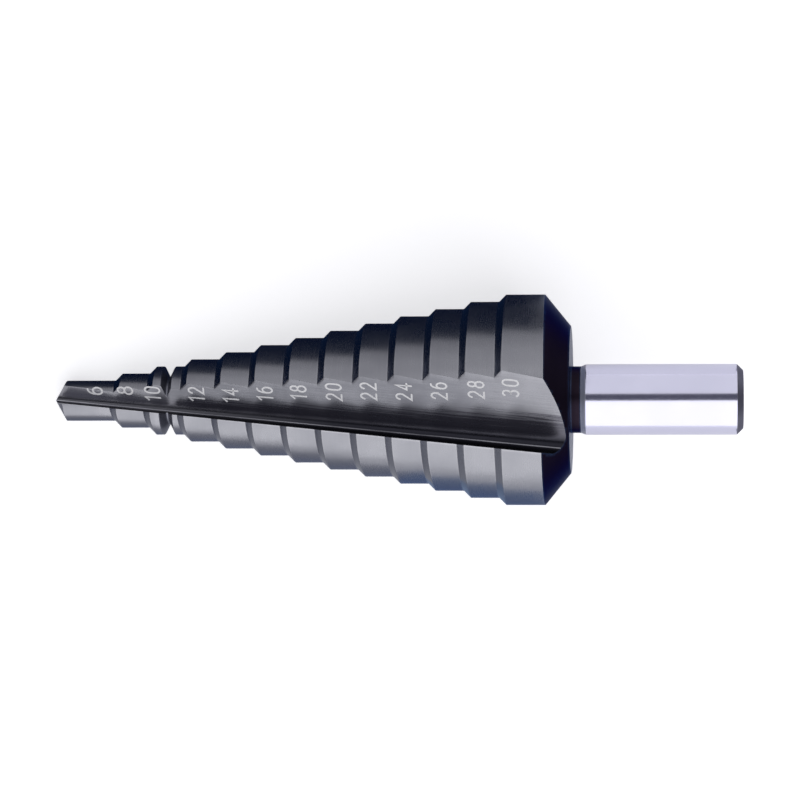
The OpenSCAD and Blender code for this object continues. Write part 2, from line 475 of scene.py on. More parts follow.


# Edge mark at each point of a whole section, partly wear and partly painted highlight: full on
# the cutting edge of each land, little on its heel.
def sectionWearAndHighlight():
    wearAndHighlight = np.zeros(halfN)
    behind = 5                                  # points of the land over which it fades
    wearAndHighlight[:behind] = np.linspace(0.8, 0.1, behind)
    wearAndHighlight[lipI - 1] = 0.6
    wearAndHighlight[lipI] = 1.0
    wearAndHighlight[[landN - 1, heelI, wallI]] = 0.35
    return np.concatenate([wearAndHighlight, wearAndHighlight])


# The stepped body with its lands and flutes. Says what its rings are and what numbers they got.
def addBody(build):
    stations = bodyStations()
    across = sectionWearAndHighlight()
    onLand = np.tile(np.arange(halfN) <= heelI, 2)      # a turned edge gets no edge mark in the flutes
    ids = []
    for i, (points, wearAndHighlight, _) in enumerate(stations):
        ends = i in (0, len(stations) - 1)
        turned = wearAndHighlight if ends else wearAndHighlight * onLand * d["ringWearAndHighlight"]
        ids.append(addPoints(build, points, np.maximum(across, turned)))
    for (_, _, kind), a, b in zip(stations, ids, ids[1:]):
        half = [kind] * landN + ["flute"] * (halfN - landN)
        addStrip(build, a, b, half + half)
    return stations, ids


# The two point cones, either side of the chisel edge, inside the body's first ring.
def addPoint(build, first, firstIds):
    ends = [first[chiselI] @ chiselDir, first[halfN + chiselI] @ chiselDir]
    edge = np.linspace(ends[0], ends[1], d["chiselParts"] + 1)[1:-1, None] * chiselDir
    edgeIds = addPoints(build, np.column_stack([pointHeight(edge + 1e-9 * chiselNormal), edge]), 1.0)
    # while it is filled, the edge is bulged a little, so that no sliver is left
    bulge = 0.01 * np.sin(np.linspace(0, pi, len(edge) + 2))[1:-1, None] * chiselNormal
    reaches = np.arange(d["pointRelief"] + d["pointFirst"], stepR(0) + 1, d["pointGap"])
    for side, middle, middleIds in ((1, edge + bulge, edgeIds), (-1, (edge - bulge)[::-1], edgeIds[::-1])):
        start = chiselI + (halfN if side > 0 else 0)
        order = [(start + i) % (2 * halfN) for i in range(halfN + 1)]
        loop = np.concatenate([first[order], middle])
        loopIds = np.concatenate([firstIds[order], middleIds])
        free = []
        for reach in reaches:
            count = int(2 * pi * reach / d["pointSpan"])
            a = np.linspace(0, 2 * pi, count, endpoint=False)
            free.append(pointCentre * side + around(a, reach))
        addPatch(build, [loop], [loopIds], free, d["pointClear"], pointHeight, "point")


# Shank side, turned from the back's rim to the bottom of the centre hole. Says what its first
# ring is: the numbers of its points and its radius.
def addShank(build):
    mouth = d["centreD"] / 2
    pilot = d["pilotD"] / 2
    coneLen = (mouth - pilot) / tan(radians(d["centreAngle"] / 2))
    shankR = d["shankD"] / 2
    rimR = d["backD"] / 2
    neckR = d["neckD"] / 2
    onCone = 0.5                                # the outline starts this far up the back cone
    outline = [
        (backU - onCone, rimR + onCone * backSlope), (backU, rimR), (backU, neckR), (shankU, neckR),
        (shankU + d["leadLen"], shankR), (overallLen - d["endChamfer"], shankR),
        (overallLen, shankR - d["endChamfer"]), (overallLen, mouth), (overallLen - coneLen, pilot),
        (overallLen - d["centreDepth"] + pilot / 2, pilot), (overallLen - d["centreDepth"], 0.0)]
    turned = rounded(outline, d["edgeBreak"] * d["turnedSoftness"], d["guard"])[1:-1]
    while turned[0][2] == 0.0:
        turned.pop(0)
    rings = []
    for u, r, wearAndHighlight in turned:
        circle = np.column_stack([np.full_like(turnAngles, u), around(turnAngles, r)])
        rings.append((addPoints(build, circle, wearAndHighlight), u, r))
    # each strip has the finish of its stretch, with a little room for the broken edges
    for (a, u0, r0), (b, u1, r1) in zip(rings, rings[1:]):
        middle = (u0 + u1) / 2
        if middle <= shankU + 0.01:
            finish = "backFace" if r1 > neckR + 0.1 and r0 < rimR - 0.02 else "back"
        elif middle <= shankU + d["leadLen"] + 0.02:
            finish = "lead"
        elif r0 <= mouth + 0.08:
            finish = "centre"
        elif middle >= overallLen - d["endChamfer"] and r0 > shankR - d["endChamfer"] + 0.02:
            finish = "endBreak"
        else:
            finish = "shank"
        addStrip(build, a, b, finish)
    tip = addPoints(build, [(overallLen - d["centreDepth"], 0.0, 0.0)])[0]
    last = rings[-1][0]
    for i in range(len(last)):
        build["faces"].append((last[i], last[(i + 1) % len(last)], tip))
        build["finish"].append("centre")
    return rings[0][0], rings[0][2]


# The back cone, from the end of the lands and flutes to the rim.
def addBack(build, outer, outerIds, rimIds, rimRing):
    free = []
    for k, reach in enumerate(np.arange(rimRing + d["backFirst"], lastR, d["backGap"])):
        free.append(around(turnAngles + (k % 2) * pi / d["turnParts"], reach))
    addPatch(
        build, [outer, around(turnAngles, rimRing)], [outerIds, rimIds], free, d["backClear"],
        lambda p: landEndU + (lastR - np.linalg.norm(p, axis=-1)) / backSlope, "back")


def buildDrill():
    build = {"points": [], "wearAndHighlight": [], "faces": [], "finish": []}
    stations, ids = addBody(build)
    addPoint(build, stations[0][0][:, 1:], ids[0])
    rimIds, rimRing = addShank(build)
    addBack(build, stations[-1][0][:, 1:], ids[-1], rimIds, rimRing)
    return build


# The drill's own frame in the row frame, from the shank's mount and the roll at rest.
def layDown():
    mount = next(m for m in frame["record"]["mounts"] if m["name"] == "shank")
    axis = Vector(mount["axis"]).normalized()
    pitch = -asin(axis.z)
    middle = (shankU + d["leadLen"] + overallLen - d["endChamfer"]) / 2
    origin = Vector(mount["pos_m"]) - axis * middle * mm
    turn = Matrix.Rotation(pitch, 4, "Y") @ Matrix.Rotation(radians(d["restRoll"]), 4, "X")
    return Matrix.Translation(origin) @ turn


lying = layDown()


# Points of u, v and w in millimetres, laid down in the row frame in metres.
def toRow(points):
    p = np.asarray(points, dtype=float)
    slim = d["withinCad"]
    own = np.column_stack([p[:, 0], -p[:, 1] * slim, p[:, 2] * slim]) * mm
    turn = np.array(lying)
    return own @ turn[:3, :3].T + turn[:3, 3]


def addPiece(name, points, faces, *materials):
    mesh = bpy.data.meshes.new(name)
    mesh.from_pydata([tuple(p) for p in points], [], faces)
    for material in materials:
        mesh.materials.append(material)
    piece = bpy.data.objects.new(name, mesh)
    scene.collection.objects.link(piece)
    return piece


# The gathered mesh as a piece, with each face's finish and each point's edge mark, partly wear
# and partly painted highlight.
def makeDrill(name, build, steels):
    faces = [[int(i) for i in face] for face in build["faces"]]
    piece = addPiece(name, toRow(build["points"]), faces, *steels.values())
    slots = {key: i for i, key in enumerate(steels)}
    piece.data.polygons.foreach_set("material_index", [slots[f] for f in build["finish"]])
    wearAndHighlight = piece.data.attributes.new("wearAndHighlight", "FLOAT", "POINT")
    wearAndHighlight.data.foreach_set("value", build["wearAndHighlight"])
    return piece


# Turns faces outwards. Where an angle is given, shading is smooth but over sharper edges.
def settle(piece, sharpAngle=None):
    bm = bmesh.new()
    bm.from_mesh(piece.data)
    bmesh.ops.recalc_face_normals(bm, faces=bm.faces)
    if sharpAngle:
        for face in bm.faces:
            face.smooth = True
        for edge in bm.edges:
            if len(edge.link_faces) == 2:
                edge.smooth = edge.calc_face_angle(0) < radians(sharpAngle)
        weigh = piece.modifiers.new("even flats", "WEIGHTED_NORMAL")
        weigh.mode = "FACE_AREA"
        weigh.weight = 80
        weigh.keep_sharp = True
    bm.to_mesh(piece.data)
    bm.free()


print("drill form defined")


# Looks. Shared effects are node groups; each finish has its own small dictionary. feed links
# the outputs among the values to a node's inputs, and writes numbers and colours on them.
def feed(tree, node, values):
    for name, value in values.items():
        socket = node.inputs[name]
        if isinstance(value, bpy.types.NodeSocket):
            tree.links.new(value, socket)
        else:
            socket.default_value = (*value, 1.0) if socket.type == "RGBA" else value


def addNode(tree, kind, values, **settings):
    node = tree.nodes.new("ShaderNode" + kind)
    for name, value in settings.items():
        setattr(node, name, value)
    feed(tree, node, values)
    return node.outputs


def addGroup(tree, group, values):
    return addNode(tree, "Group", values, node_tree=group)


def mathNode(tree, operation, a, b=None, c=None, clamp=False):
    values = {i: value for i, value in enumerate((a, b, c)) if value is not None}
    return addNode(tree, "Math", values, operation=operation, use_clamp=clamp)[0]


# a times b plus c
def scaleAdd(tree, a, b, c, clamp=False):
    return mathNode(tree, "MULTIPLY_ADD", a, b, c, clamp)


def noiseNode(tree, where, scale, detail, rough):
    values = {"Vector": where, "Scale": scale, "Detail": detail, "Roughness": rough}
    return addNode(tree, "TexNoise", values)["Fac"]


# Goes from first to last while the value goes from low to high.
def rampNode(tree, value, low, high, first=0.0, last=1.0, way="LINEAR"):
    values = {"Value": value, "From Min": low, "From Max": high, "To Min": first, "To Max": last}
    return addNode(tree, "MapRange", values, interpolation_type=way)["Result"]


def scaleNode(tree, vector, scale):
    return addNode(tree, "VectorMath", {0: vector, "Scale": scale}, operation="SCALE")["Vector"]


def objectPlace(tree):
    return addNode(tree, "TexCoord", {})["Object"]


def mixColour(tree, share, a, b):
    return addNode(tree, "Mix", {"Factor": share, "A": a, "B": b}, data_type="RGBA")["Result"]


def newMaterial(name):
    material = bpy.data.materials.new(name)
    material.use_nodes = True
    return material, material.node_tree, material.node_tree.nodes["Principled BSDF"]


# A group of plain numbers, with the values that its inputs have at rest.
def newGroup(name, inputs):
    group = bpy.data.node_groups.new(name, "ShaderNodeTree")
    for socket, value in inputs.items():
        made = group.interface.new_socket(socket, in_out="INPUT", socket_type="NodeSocketFloat")
        made.default_value = value
    return group, group.nodes.new("NodeGroupInput").outputs


def closeGroup(group, values):
    for socket in values:
        group.interface.new_socket(socket, in_out="OUTPUT", socket_type="NodeSocketFloat")
    feed(group, group.nodes.new("NodeGroupOutput"), values)
    return group


# Where a point lies on the drill, in millimetres: along the axis, out from it and round it,
# and across and over the line of the flute's root, so that these two are even along it.
def makeDrillPlace():
    group, _ = newGroup("drillPlace", {})
    back = lying.inverted()
    values = {"Vector": objectPlace(group), "Location": back.translation, "Rotation": back.to_euler("XYZ")}
    own = scaleNode(group, addNode(group, "Mapping", values)["Vector"], 1 / mm)
    u, y, z = addNode(group, "SeparateXYZ", {"Vector": own})
    v = mathNode(group, "MULTIPLY", y, -1.0)
    square = scaleAdd(group, y, y, mathNode(group, "MULTIPLY", z, z))
    return closeGroup(group, {
        "Along": u, "Radius": mathNode(group, "SQRT", square), "Turn": mathNode(group, "ARCTAN2", z, v),
        "Across": scaleAdd(group, u, -tan(swing) / cos(fall), v),
        "Lift": scaleAdd(group, u, tan(fall), z)})


# Fine lines that a grinding wheel leaves: they change fast over Cross and slowly over Run.
def makeGrindLines():
    group, given = newGroup("grindLines", {
        "Cross": 0.0, "Cross 2": 0.0, "Run": 0.0, "Lines per mm": 6.0, "Breaks per mm": 0.1})
    places = [mathNode(group, "MULTIPLY", given[name], given[pace]) for name, pace in (
        ("Cross", "Lines per mm"), ("Cross 2", "Lines per mm"), ("Run", "Breaks per mm"))]
    found = {}
    for name, scale, detail, rough in (("Lines", 1.0, 4.0, 0.65), ("Fine", 3.1, 2.0, 0.6)):
        scaled = {i: mathNode(group, "MULTIPLY", place, scale) for i, place in enumerate(places)}
        found[name] = noiseNode(group, addNode(group, "CombineXYZ", scaled)["Vector"], 1.0, detail, rough)
    return closeGroup(group, found)


# Soft uneven patches, like the tempering colours and handling marks on tool steel.
def makePatina():
    group, given = newGroup("patina", {"Patches per mm": 0.12, "Low": 0.35, "High": 0.7})
    pace = mathNode(group, "DIVIDE", given["Patches per mm"], mm)
    noise = noiseNode(group, scaleNode(group, objectPlace(group), pace), 1.0, 5.0, 0.55)
    return closeGroup(group, {"Mask": rampNode(group, noise, given["Low"], given["High"])})


# Bright edges from the mesh's own edge mark, broken up by noise: partly wear, partly a painted
# highlight.
def makeEdgeWearAndHighlight():
    group, given = newGroup("edgeWearAndHighlight", {"Amount": 1.0})
    wearAndHighlight = addNode(group, "Attribute", {}, attribute_name="wearAndHighlight")["Fac"]
    noise = noiseNode(group, objectPlace(group), 1.4 / mm, 4.0, 0.5)
    broken = scaleAdd(group, noise, 1.6, -0.1, clamp=True)
    mask = mathNode(group, "MULTIPLY", wearAndHighlight, broken)
    return closeGroup(group, {"Mask": mathNode(group, "MULTIPLY", mask, given["Amount"], clamp=True)})


# Borders of the painted shade and the painted highlight in the flute, in millimetres. Each fades
# at its own pace; the border of the open part lies further from the root towards the shank, and
# the painted highlight rises slowly along the root.
borders = {
    "rootPace": 2.5, "rootStart": -1.6, "facePace": -12.0,
    "openTip": 1.2, "openGrowth": 0.08, "openShare": 1.09,
    "highlightAt": 0.10, "highlightRise": 0.0075, "highlightPace": -10.0, "highlightGain": 2.6, "highlightCut": -0.7}


# Masks in the flute. Wall is 0 in the root, where the root's painted shade lies, and 1 above it;
# Open is 1 up by the heel, out of the painted shade on the lower wall; Face is 1 on the cutting
# face, and the last output is a thin painted highlight that runs along the root. The grinding
# streaks move the border of the painted shade and break up the painted highlight.
def makeFluteShadeAndHighlight():
    group, given = newGroup("fluteShadeAndHighlight", {"Streaks": 0.5, "Smear": 0.4, "Low": 0.5, "High": 1.0})
    b = borders
    place = addGroup(group, drillPlace, {})
    along, lift = place["Along"], place["Lift"]
    over = mathNode(group, "ADD", lift, d["rakeSet"])
    touchHigh = 1 + cos(opening)                # of the root's radius, where the wall starts
    rootHigh = scaleAdd(group, along, touchHigh * rootGrowth, touchHigh * d["rootTipR"])
    above = mathNode(group, "DIVIDE", over, rootHigh)
    # where the painted shade on the lower wall ends, higher towards the shank
    reach = scaleAdd(group, along, b["openGrowth"], b["openTip"])
    high = mathNode(group, "DIVIDE", mathNode(group, "MULTIPLY", lift, b["openShare"]), reach)
    pull = mathNode(group, "SUBTRACT", given["Streaks"], 0.5)
    high = scaleAdd(group, pull, given["Smear"], high)
    # the thin painted highlight along the root
    off = scaleAdd(group, along, -b["highlightRise"], lift)
    off = mathNode(group, "ABSOLUTE", mathNode(group, "SUBTRACT", off, b["highlightAt"]))
    thin = scaleAdd(group, off, b["highlightPace"], 1.0, clamp=True)
    broken = scaleAdd(group, given["Streaks"], b["highlightGain"], b["highlightCut"], clamp=True)
    return closeGroup(group, {
        "Open": rampNode(group, high, given["Low"], given["High"], way="SMOOTHSTEP"),
        "Wall": scaleAdd(group, above, b["rootPace"], b["rootStart"], clamp=True),
        "Face": scaleAdd(group, over, b["facePace"], 1.0, clamp=True),
        "Line": mathNode(group, "MULTIPLY", thin, broken)})


drillPlace = makeDrillPlace()
fluteShadeAndHighlight = makeFluteShadeAndHighlight()
grindLines = makeGrindLines()
patina = makePatina()
edgeWearAndHighlight = makeEdgeWearAndHighlight()

# Each ground finish: base and stained colour, the bright edge (partly wear, partly painted
# highlight), how rough, and its lines. A ramp says from which place along the drill to which one,
# and from what share to what share.
usual = {
    "lines": "round", "perMm": 9.0, "breaks": 0.10, "bump": 0.0014, "wearAndHighlight": 0.6, "grazing": (1.0, 1.0, 1.0),
    "coneShare": 0.83, "stains": {"Patches per mm": 0.16, "Low": 0.38, "High": 0.66}, "stainTint": 0.35,
    # the border of the flute's painted shade, and how much that shade dims the bright edges
    "shadeBorder": {"Smear": 1.7, "Low": 0.64, "High": 0.82}, "shadeOnEdges": 0.8,
}
finishes = {
    "land": {
        "base": (0.375, 0.377, 0.405), "stain": (0.275, 0.278, 0.308), "edge": (0.70, 0.70, 0.73),
        "rough": 0.26, "roughRange": 0.12, "bump": 0.0012, "wearAndHighlight": 0.8, "lineTint": 0.22,
        "grazing": (0.55, 0.60, 0.75)},
    "riser": {
        "base": (0.37, 0.372, 0.40), "stain": (0.26, 0.263, 0.29), "edge": (0.50, 0.50, 0.54),
        "rough": 0.19, "roughRange": 0.08, "bump": 0.0012, "wearAndHighlight": 0.4, "lineTint": 0.22},
    "groove": {
        "base": (0.26, 0.265, 0.30), "stain": (0.16, 0.165, 0.20), "edge": (0.50, 0.50, 0.55),
        "rough": 0.34, "roughRange": 0.12, "wearAndHighlight": 0.5, "lineTint": 0.25},
    # In the flute, the darker colours of the lower wall and the root are painted shade, the paler ones near
    # the tip and the run-out are painted light, and the pale line along the root is a painted highlight.
    "flute": {
        "base": (0.252, 0.254, 0.280), "stain": (0.165, 0.168, 0.192), "edge": (0.45, 0.45, 0.48),
        "rough": 0.25, "roughRange": 0.16, "lines": "along", "perMm": 5.0, "breaks": 0.09,
        "bump": 0.0018, "lineTint": 0.38, "deepShade": (0.115, 0.113, 0.135),
        "root": (0.032, 0.032, 0.042), "rootTipShade": (0.11, 0.11, 0.125), "rootShadeRamp": (14.0, 42.0, 1.0, 0.0),
        "tipLight": (0.50, 0.50, 0.54), "tipLightRamp": (4.0, 22.0, 0.85, 0.0),
        "runOutLight": (0.36, 0.36, 0.39), "runOutLightRamp": (58.0, 68.0, 0.0, 0.55),
        "face": (0.22, 0.22, 0.26), "rootHighlight": (0.78, 0.78, 0.84)},
    "point": {
        "base": (0.30, 0.30, 0.34), "stain": (0.18, 0.18, 0.22), "edge": (0.55, 0.55, 0.58),
        "rough": 0.26, "roughRange": 0.12, "perMm": 8.0, "breaks": 0.3, "lineTint": 0.25},
    "back": {
        "base": (0.032, 0.023, 0.038), "stain": (0.020, 0.014, 0.021), "edge": (0.06, 0.10, 0.19),
        "rough": 0.34, "roughRange": 0.10, "perMm": 7.0, "breaks": 0.12, "wearAndHighlight": 0.8, "lineTint": 0.18,
        "grazing": (0.35, 0.39, 0.55)},
    "backFace": {
        "base": (0.16, 0.19, 0.28), "stain": (0.10, 0.12, 0.19), "edge": (0.24, 0.28, 0.40),
        "rough": 0.16, "roughRange": 0.06, "perMm": 7.0, "breaks": 0.12, "lineTint": 0.20,
        "grazing": (0.14, 0.19, 0.32)},
    "lead": {
        "base": (0.80, 0.80, 0.87), "stain": (0.68, 0.68, 0.76), "edge": (0.80, 0.80, 0.88),
        "rough": 0.45, "roughRange": 0.08, "breaks": 0.06, "bump": 0.0010, "wearAndHighlight": 0.3, "lineTint": 0.12},
    "shank": {
        "base": (0.77, 0.765, 0.93), "stain": (0.70, 0.695, 0.86), "edge": (0.80, 0.80, 0.90),
        "rough": 0.14, "roughRange": 0.05, "perMm": 12.0, "breaks": 0.06, "bump": 0.0005, "wearAndHighlight": 0.3,
        "lineTint": 0.10},
    # the end chamfer is darker than the shank's steel as painted shade
    "endBreak": {
        "base": (0.30, 0.30, 0.36), "stain": (0.25, 0.25, 0.31), "edge": (0.50, 0.50, 0.58),
        "rough": 0.40, "roughRange": 0.08, "breaks": 0.06, "bump": 0.0010, "wearAndHighlight": 0.3, "lineTint": 0.12},
    "centre": {
        "base": (0.45, 0.45, 0.50), "stain": (0.25, 0.25, 0.30), "edge": (0.60, 0.60, 0.64),
        "rough": 0.36, "roughRange": 0.10, "breaks": 0.2, "bump": 0.0015, "wearAndHighlight": 0.4, "lineTint": 0.20},
}


# Colours over the ground one in the flute: painted light at the run-out, painted shade on the deep
# part of the wall, painted light near the tip, painted shade in the root, the cutting face, and a
# painted highlight along the root.
def fluteColour(tree, f, along, inFlute, colour):
    # painted light towards the run-out of the flute
    colour = mixColour(tree, rampNode(tree, along, *f["runOutLightRamp"]), colour, f["runOutLight"])
    # painted shade on the lower wall, below the open part
    colour = mixColour(tree, inFlute["Open"], f["deepShade"], colour)
    # painted light near the tip
    colour = mixColour(tree, rampNode(tree, along, *f["tipLightRamp"]), colour, f["tipLight"])
    # painted shade in the root, lighter towards the tip
    root = mixColour(tree, rampNode(tree, along, *f["rootShadeRamp"]), f["root"], f["rootTipShade"])
    colour = mixColour(tree, inFlute["Wall"], root, colour)
    colour = mixColour(tree, inFlute["Face"], colour, f["face"])
    # the painted highlight along the root
    return mixColour(tree, inFlute["Line"], colour, f["rootHighlight"])


def groundSteel(name, f):
    material, tree, steel = newMaterial(name)
    place = addGroup(tree, drillPlace, {})
    if f["lines"] == "round":
        out = mathNode(tree, "MULTIPLY", place["Radius"], f["coneShare"])
        where = {
            "Cross": mathNode(tree, "ADD", place["Along"], out),
            "Run": mathNode(tree, "MULTIPLY", place["Turn"], place["Radius"])}
    else:
        where = {"Cross": place["Across"], "Cross 2": place["Lift"], "Run": place["Along"]}
    lines = addGroup(tree, grindLines, {**where, "Lines per mm": f["perMm"], "Breaks per mm": f["breaks"]})
    line = lines["Lines"]
    stains = addGroup(tree, patina, f["stains"])["Mask"]
    # bright edges, partly wear and partly painted highlight
    brightEdges = addGroup(tree, edgeWearAndHighlight, {"Amount": f["wearAndHighlight"]})["Mask"]
    shade = scaleAdd(tree, line, f["lineTint"] * 2, f["stainTint"] - f["lineTint"], clamp=True)
    shade = scaleAdd(tree, stains, f["stainTint"], shade, clamp=True)
    colour = mixColour(tree, shade, f["base"], f["stain"])
    if f["lines"] == "along":
        inFlute = addGroup(tree, fluteShadeAndHighlight, {"Streaks": line, **f["shadeBorder"]})
        colour = fluteColour(tree, f, place["Along"], inFlute, colour)
        # in the flute's painted shade the bright edges fade
        share = scaleAdd(tree, inFlute["Open"], f["shadeOnEdges"], 1 - f["shadeOnEdges"])
        brightEdges = mathNode(tree, "MULTIPLY", brightEdges, share)
    rough = scaleAdd(tree, line, f["roughRange"], f["rough"] - f["roughRange"] / 2)
    height = scaleAdd(tree, lines["Fine"], 0.5, line)
    bump = addNode(tree, "Bump", {"Strength": 1.0, "Distance": f["bump"] * mm, "Height": height})
    feed(tree, steel, {
        "Base Color": mixColour(tree, brightEdges, colour, f["edge"]), "Specular Tint": f["grazing"],
        "Roughness": scaleAdd(tree, stains, f["roughRange"] / 2, rough, clamp=True),
        "Metallic": 1.0, "Normal": bump["Normal"]})
    return material


steels = {key: groundSteel(key + "Steel", {**usual, **f}) for key, f in finishes.items()}
body = makeDrill("ground_drill", buildDrill(), steels)
settle(body, 30)
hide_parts("drill_bit")
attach(body, "root")
print("drill made:", len(body.data.polygons), "faces")

# Sizes marked on the flute's wall: single strokes in a box one unit high, top towards the tip.
# Strokes that cross lie a layer apart. at is the middle of each number, along the axis and
# across it, in millimetres.
numbers = {
    "height": 2.2, "width": 1.12, "aloneWidth": 1.38, "oneWidth": 0.55, "gap": 0.56, "stroke": 0.27,
    "proud": 0.004, "sunk": 0.02, "layer": 0.0004, "layers": 3, "turnParts": 10, "arcPart": 18,
    "at": {
        "6": (6.06, 1.42), "8": (10.56, 1.45), "10": (14.6, 1.02), "12": (21.06, 0.91),
        "14": (26.07, 0.76), "16": (31.09, 0.99), "18": (35.96, 1.15), "20": (41.03, 1.14),
        "22": (46.0, 1.22), "24": (51.0, 1.14), "26": (55.97, 1.26), "28": (61.16, 1.41),
        "30": (65.96, 1.61)},
}


# An arc as points, from one angle to another in degrees, anticlockwise if the second is larger.
def arc(x, y, rx, ry, a0, a1):
    n = max(3, int(abs(a1 - a0) / numbers["arcPart"]))
    turns = [radians(a0 + (a1 - a0) * i / n) for i in range(n + 1)]
    return [(x + rx * cos(a), y + ry * sin(a)) for a in turns]


glyphs = {
    "0": [arc(0.5, 0.68, 0.42, 0.32, 0, 180) + arc(0.5, 0.32, 0.42, 0.32, 180, 360) + [(0.92, 0.68)]],
    "1": [[(0.0, 0.78), (0.8, 1.0), (0.8, 0.0)]],
    "2": [arc(0.5, 0.70, 0.40, 0.30, 165, -25) + [(0.10, 0.0), (0.92, 0.0)]],
    "3": [arc(0.46, 0.75, 0.38, 0.25, 150, -90) + arc(0.46, 0.26, 0.42, 0.26, 80, -150)],
    "4": [[(0.66, 0.0), (0.66, 1.0), (0.08, 0.30), (0.95, 0.30)]],
    "6": [arc(0.5, 0.32, 0.40, 0.32, 0, 360), [(0.10, 0.36)] + arc(0.62, 0.48, 0.52, 0.52, 170, 88)],
    "8": [arc(0.5, 0.76, 0.34, 0.24, -90, 270), arc(0.5, 0.27, 0.42, 0.27, 90, 450)],
}


# The two sides of a stroke of this half width; line is a list of places on the wall.
def strokeSides(line, half):
    left, right = [], []
    for i, p in enumerate(line):
        before = line[max(i - 1, 0)]
        after = line[min(i + 1, len(line) - 1)]
        a = (p - before) if i else (after - p)
        b = (after - p) if i < len(line) - 1 else a
        a = a / np.linalg.norm(a)
        b = b / np.linalg.norm(b)
        t = (a + b) / max(np.linalg.norm(a + b), 1e-9)
        n = np.array([-t[1], t[0]])
        reach = half / max(abs(n @ np.array([-a[1], a[0]])), 0.5)
        left.append(p + n * reach)
        right.append(p - n * reach)
    return left, right


# All strokes of all numbers. Each text reads across the drill, with its tops towards the tip.
def buildNumbers():
    n = numbers
    verts, faces = [], []
    normal = np.cross(rootDir, wallDir)
    normal /= np.linalg.norm(normal)
    if normal[1] < 0:
        normal = -normal                         # out of the metal, into the flute
    reading = np.array([0.0, *flatWall])
    top = np.cross(reading, normal)
    if top[0] > 0:
        top = -top
    count = 0
    for text, (alongMid, acrossMid) in n["at"].items():
        # the place on the wall plane with this u and w
        a = np.array([[rootDir[0], wallDir[0]], [rootDir[2], wallDir[2]]])
        s, t = np.linalg.solve(a, np.array([alongMid - rootStart[0], acrossMid - rootStart[2]]))
        middle = rootStart + rootDir * s + wallDir * t
        wide = n["aloneWidth"] if len(text) == 1 else n["width"]
        widths = [n["oneWidth"] if char == "1" else wide for char in text]
        left = -(sum(widths) + (len(text) - 1) * n["gap"]) / 2
        for char, width in zip(text, widths):
            for stroke in glyphs[char]:
                line = [np.array([left + x * width, (y - 0.5) * n["height"]]) for x, y in stroke]
                proud = n["proud"] + n["layer"] * (count % n["layers"])
                addStroke(verts, faces, line, (middle, reading, top, normal), proud)
                count += 1
            left += width + n["gap"]
    return verts, faces


# One stroke as a thin closed strip on the wall, with round caps at its ends.
def addStroke(verts, faces, line, wall, proud):
    middle, reading, top, normal = wall
    half = numbers["stroke"] / 2

    # Each place once over the wall and once sunk in it
    def lay(places):
        start = len(verts)
        for p in places:
            for lift in (proud, -numbers["sunk"]):
                verts.append(middle + reading * p[0] + top * p[1] + normal * lift)
        return start

    closed = np.linalg.norm(line[0] - line[-1]) < 1e-6
    left, right = strokeSides(line, half)
    if closed:
        for side in (left, right):
            side[0] = side[-1] = (side[0] + side[-1]) / 2
    start = lay([p for both in zip(left, right) for p in both])
    rows = [start + 4 * i for i in range(len(left))]
    for a, b in zip(rows, rows[1:]):
        faces += [
            (a, a + 2, b + 2, b), (a + 1, b + 1, b + 3, a + 3), (a, b, b + 1, a + 1),
            (a + 2, a + 3, b + 3, b + 2)]
    if closed:
        return
    for end, corner, row, order in (
            (line[0], left[0], rows[0], (0, 2)), (line[-1], right[-1], rows[-1], (2, 0))):
        turn = atan2(*(corner - end)[::-1])
        cap = end + around(turn + np.linspace(0, pi, numbers["turnParts"] + 1)[1:-1], half)
        at = lay(cap)
        upper = [row + order[0]] + [at + 2 * i for i in range(len(cap))] + [row + order[1]]
        lower = [i + 1 for i in upper]
        faces.append(tuple(upper))
        faces.append(tuple(reversed(lower)))
        for i in range(len(upper) - 1):
            faces.append((upper[i], lower[i], lower[i + 1], upper[i + 1]))


def etchedMaterial():
    material, tree, mark = newMaterial("etchedMark")
    grain = addGroup(tree, patina, {"Patches per mm": 6.0, "Low": 0.4, "High": 0.9})["Mask"]
    feed(tree, mark, {
        "Base Color": mixColour(tree, grain, (0.90, 0.90, 0.91), (0.72, 0.72, 0.74)),
        "Roughness": scaleAdd(tree, grain, 0.15, 0.55), "Metallic": 0.1})
    return material


verts, faces = buildNumbers()
marks = addPiece("size_numbers", toRow(verts), faces, etchedMaterial())
settle(marks)
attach(marks, "root")
print("numbers made:", len(marks.data.polygons), "faces")

# Floor, pale and plain. For the camera it glows by lift, and turns white far from the drill;
# in a mirror it glows by mirrored.
stageSet = {
    "half": 3.0, "colour": (0.86, 0.86, 0.88),
    "lift": 0.56, "mirrored": 0.20, "fadeFrom": 0.2, "fadeTo": 0.5}


# The kinds of ray, and a share that is 1 where the camera sees a thing, straight or through glass.
def seenBy(tree):
    rays = addNode(tree, "LightPath", {})
    return rays, mathNode(tree, "ADD", rays["Is Camera Ray"], rays["Is Transmission Ray"], clamp=True)


def makeFloor():
    h, s = stageSet["half"], stageSet
    material, tree, paint = newMaterial("paleFloor")
    rays, straight = seenBy(tree)
    mirrored = mathNode(tree, "MULTIPLY", rays["Is Glossy Ray"], s["mirrored"])
    away = addNode(tree, "VectorMath", {0: objectPlace(tree)}, operation="LENGTH")["Value"]
    lift = rampNode(tree, away, s["fadeFrom"], s["fadeTo"], s["lift"])
    feed(tree, paint, {
        "Base Color": s["colour"], "Roughness": 0.9, "Specular IOR Level": 0.0, "Emission Color": (1, 1, 1),
        "Emission Strength": scaleAdd(tree, straight, lift, mirrored)})
    addPiece("floor", [(-h, -h, 0), (h, -h, 0), (h, h, 0), (-h, h, 0)], [(0, 1, 2, 3)], material)


makeFloor()

